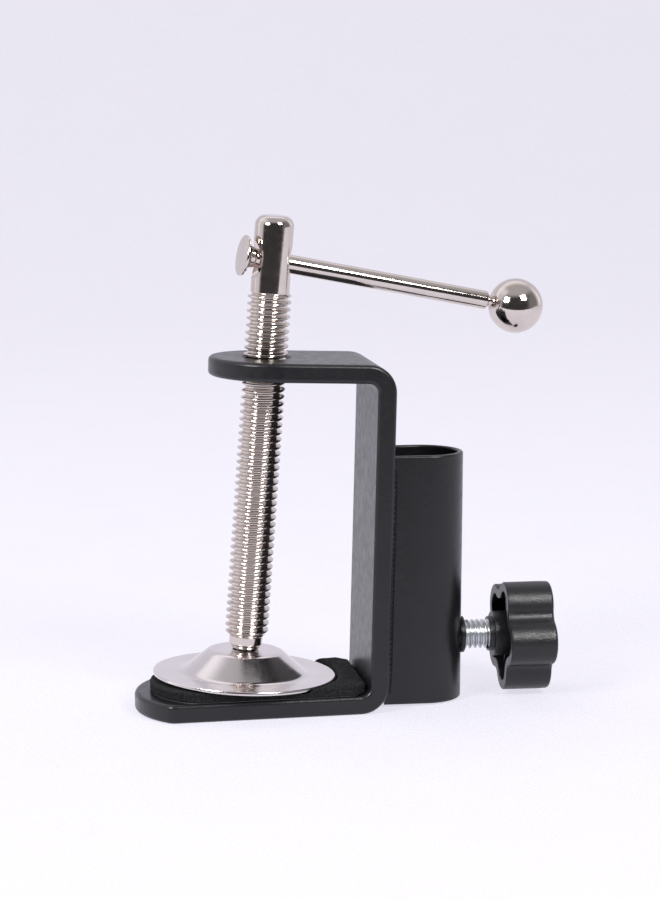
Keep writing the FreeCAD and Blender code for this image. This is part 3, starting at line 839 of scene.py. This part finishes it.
def foam_sheet():
    outline = foam_outline()
    middle = Vector((foam_low.x + foam_high.x, 0)) / (2 * MM)
    ends = np.array([tuple(p) for p in outline])
    nexts = np.roll(ends, -1, axis=0)

    def edge_distance(p):
        along = nexts - ends
        t = np.clip(((p - ends) * along).sum(1) / np.maximum((along ** 2).sum(1), 1e-12), 0, 1)
        return np.sqrt((((ends + along * t[:, None]) - p) ** 2).sum(1)).min()

    def ray_reach(angle):
        d = np.array((math.cos(angle), math.sin(angle)))
        a, b = ends - np.array(middle), nexts - np.array(middle)
        cross_a = a[:, 0] * d[1] - a[:, 1] * d[0]
        cross_b = b[:, 0] * d[1] - b[:, 1] * d[0]
        hit = (cross_a * cross_b <= 0) & (np.abs(cross_a - cross_b) > 1e-12)
        t = cross_a[hit] / (cross_a[hit] - cross_b[hit])
        spots = a[hit] + (b[hit] - a[hit]) * t[:, None]
        return (spots @ d).max()

    inverse = pad.inverted()
    rounding = 0.75
    under = 0.3
    rim_step = 0.3
    rim_ease = 0.55

    def crushed(x, y, z):
        """The height left for the foam below the pad, easing out around its rim."""
        flat = pad.translation
        away_x, away_y = x - flat.x / MM, y - flat.y / MM
        plane = (flat / MM).z - (away_x * pad_axis.x + away_y * pad_axis.y) / pad_axis.z
        local = inverse @ Vector((x * MM, y * MM, plane * MM))
        off = math.hypot(local.x, local.y) / MM - pad_radius
        limit = plane - under
        if off <= rim_step:
            return min(z, limit)
        if limit >= z:
            return z
        rise = 1 - math.exp(-(off - rim_step) / rim_ease)
        return limit + (z - limit) * rise

    count = 300
    rings = [1.0, 1.0, 0.9985, 0.994, 0.987, 0.978, 0.966, 0.953]
    inner = [0.94 - 0.0104 * k for k in range(90)]
    points, faces, loops = [], [], []
    reaches = [ray_reach(2 * math.pi * k / count) for k in range(count)]

    def ring(share, height_of):
        loop = []
        for k in range(count):
            a = 2 * math.pi * k / count
            r = reaches[k] * share
            p = (middle.x + r * math.cos(a), middle.y + r * math.sin(a))
            loop.append(len(points))
            points.append((p[0], p[1], height_of(p)))
        loops.append(loop)

    def waves(p):
        x, y = p
        broad = math.sin(0.55 * x + 0.3 * y) * math.sin(0.43 * y - 0.2 * x)
        return 0.05 * broad + 0.03 * math.sin(1.3 * x - 0.9 * y)

    def top_height(p):
        away = edge_distance(np.array(p))
        drop = rounding - math.sqrt(max(0.0, rounding ** 2 - max(0.0, rounding - away) ** 2))
        return crushed(p[0], p[1], foam_top - 0.1 + waves(p) - drop)

    ring(0.45, lambda p: foam_floor)
    ring(0.985, lambda p: foam_floor)
    ring(0.996, lambda p: foam_floor + 0.12)
    side_foot = foam_floor + 0.45
    ring(1.0, lambda p: side_foot)
    for level in (0.25, 0.5, 0.75):
        ring(1.0 - 0.004 * math.sin(math.pi * level),
             lambda p, level=level: side_foot + (top_height(p) - side_foot) * level)
    for share in rings[1:] + inner:
        ring(share, top_height)
    for lower, upper in zip(loops, loops[1:]):
        for k in range(count):
            n = (k + 1) % count
            faces.append((lower[k], lower[n], upper[n], upper[k]))
    for loop, height in ((loops[0], lambda p: foam_floor), (loops[-1], top_height)):
        centre = len(points)
        points.append((middle.x, middle.y, height((middle.x, middle.y))))
        for k in range(count):
            faces.append((loop[k], loop[(k + 1) % count], centre))
    return points, faces


points, faces = foam_sheet()
foam = new_piece("foam_sheet", soften(mesh_of(points, faces), 65), "frame", "foam", "foam_pad")

# ---- floor, backdrop, light -------------------------------------------------


def studio_sweep():
    """A floor that turns up into a backdrop far behind."""
    half, front, back, bend, tall = 2600.0, -420.0, 900.0, 500.0, 1500.0
    line = [(front, 0.0), (back, 0.0)]
    line += [(back + bend * math.sin(a), bend - bend * math.cos(a)) for a in
             [math.pi / 2 * k / 24 for k in range(1, 25)]]
    line.append((back + bend, tall))
    points, faces = [], []
    for y, z in line:
        points += [(-half, y, z), (half, y, z)]
    for i in range(len(line) - 1):
        faces.append((2 * i, 2 * i + 1, 2 * i + 3, 2 * i + 2))
    mesh = bpy.data.meshes.new("sweep")
    mesh.from_pydata([tuple(c * MM for c in p) for p in points], [], faces)
    mesh.shade_smooth()
    obj = bpy.data.objects.new("studio_sweep", mesh)
    bpy.context.scene.collection.objects.link(obj)
    f = Finish("pale_paper", Roughness=0.9)
    f.shader.inputs["Specular IOR Level"].default_value = 0.1
    tone = f.ramp(f.noise(30, 3), (0.3, (0.195, 0.19, 0.21)), (0.7, (0.205, 0.2, 0.22)))
    f.put(tone, "Base Color")
    f.shader.inputs["Emission Color"].default_value = (0.895, 0.875, 0.97, 1)
    f.shader.inputs["Emission Strength"].default_value = 0.75
    split = f.t.node("ShaderNodeSeparateXYZ", [f.place]).outputs
    warp_density, weft_density = 4200.0, 3600.0
    warp = f.t.math("SINE", f.t.math("MULTIPLY", split[0], warp_density))
    weft = f.t.math("SINE", f.t.math("MULTIPLY", split[1], weft_density))
    weave = f.bump(f.t.math("MULTIPLY", warp, weft), 0.0003, 0.6)
    f.put(f.bump(f.noise(900, 2), 0.0001, 0.25, weave), "Normal")
    give(obj, f.material)
    return obj


studio_sweep()


def softbox(name, direction, distance, width, height, power, colour=(1, 1, 1)):
    middle = (clamp_low + clamp_high) / 2
    lamp = bpy.data.lights.new(name, "AREA")
    lamp.shape = "RECTANGLE"
    lamp.size, lamp.size_y = width, height
    lamp.energy = power
    lamp.color = colour
    obj = bpy.data.objects.new(name, lamp)
    bpy.context.scene.collection.objects.link(obj)
    away = Vector(direction).normalized()
    obj.location = middle + away * distance
    obj.rotation_euler = away.to_track_quat("Z", "Y").to_euler()
    return obj


box_side = 0.32
box_distance = 0.95
softbox("left_softbox", (-0.678, -0.528, 0.510), box_distance, box_side, box_side, 7.0)
softbox("right_softbox", (0.401, -0.694, 0.597), box_distance, box_side, box_side, 6.6)
overhead = softbox("overhead", (-0.45, 0.5, 0.9), 1.1, 0.9, 0.7, 4.5, (0.97, 0.97, 1.0))
overhead.visible_glossy = False

world = bpy.data.worlds.new("studio")
bpy.context.scene.world = world
world.use_nodes = True
w = Tree(world.node_tree)
world.node_tree.nodes.clear()
direction = w.node("ShaderNodeTexCoord").outputs["Generated"]
look = w.node("ShaderNodeSeparateXYZ", [direction]).outputs


def glow(value, start, end, gain):
    """Light that comes up smoothly between two values of a direction's part."""
    inputs = {"Value": value, "From Min": start, "From Max": end, "To Min": 0.0, "To Max": gain}
    return w.node("ShaderNodeMapRange", inputs, interpolation_type="SMOOTHSTEP").outputs[0]


leftward = w.math("MULTIPLY", look[0], -1.0)
left_side = w.math("MULTIPLY", glow(look[1], -0.42, -0.08, 0.8), glow(leftward, 0.3, 0.8, 1.0))
right_level = w.math("ADD", 0.2, glow(look[1], -0.1, 0.3, 0.6))
right_side = w.math("MULTIPLY", right_level, glow(look[0], 0.55, 0.85, 1.0))
ahead = w.math("ADD", 0.05, glow(look[1], 0.1, 0.6, 0.7))
level = w.math("ADD", ahead, w.math("MAXIMUM", left_side, right_side))
level = w.math("ADD", level, glow(look[2], 0.56, 0.84, 0.5))
# the camera sees an even pale backdrop wherever the floor ends
backdrop_level = 0.9
seen = w.node("ShaderNodeLightPath").outputs["Is Camera Ray"]
level = w.node("ShaderNodeMix", {"Factor": seen, "A": level, "B": backdrop_level}).outputs[0]
shade = w.node("ShaderNodeBackground", {"Color": (0.98, 0.955, 1.0, 1.0), "Strength": level})
w.node("ShaderNodeOutputWorld", [shade.outputs[0]])

# ---- camera -----------------------------------------------------------------

yaw, tilt, roll = math.radians(9.115), math.radians(8.543), math.radians(-0.596)
level_share = math.cos(tilt)
look_along = Vector((math.sin(yaw) * level_share, math.cos(yaw) * level_share, -math.sin(tilt)))
right = Vector((math.cos(yaw), -math.sin(yaw), 0))
above = right.cross(look_along)
right, above = (right * math.cos(roll) + above * math.sin(roll),
                above * math.cos(roll) - right * math.sin(roll))
aim_left, aim_up = 0.0034, 0.0027
eye_distance = 0.690
aim = Vector(((clamp_low.x + clamp_high.x) / 2 - aim_left, 0,
              (clamp_low.z + clamp_high.z) / 2 + aim_up))
lens = bpy.data.cameras.new("camera")
lens.sensor_fit = "VERTICAL"
lens.sensor_height = 36.0
lens.lens = 104.0
lens.clip_start, lens.clip_end = 0.01, 20.0
eye = bpy.data.objects.new("camera", lens)
bpy.context.scene.collection.objects.link(eye)
turned_eye = Matrix((right, above, -look_along)).transposed().to_4x4()
turned_eye.translation = aim - look_along * eye_distance
eye.matrix_world = turned_eye
bpy.context.scene.camera = eye
bpy.context.scene.view_settings.view_transform = "Standard"
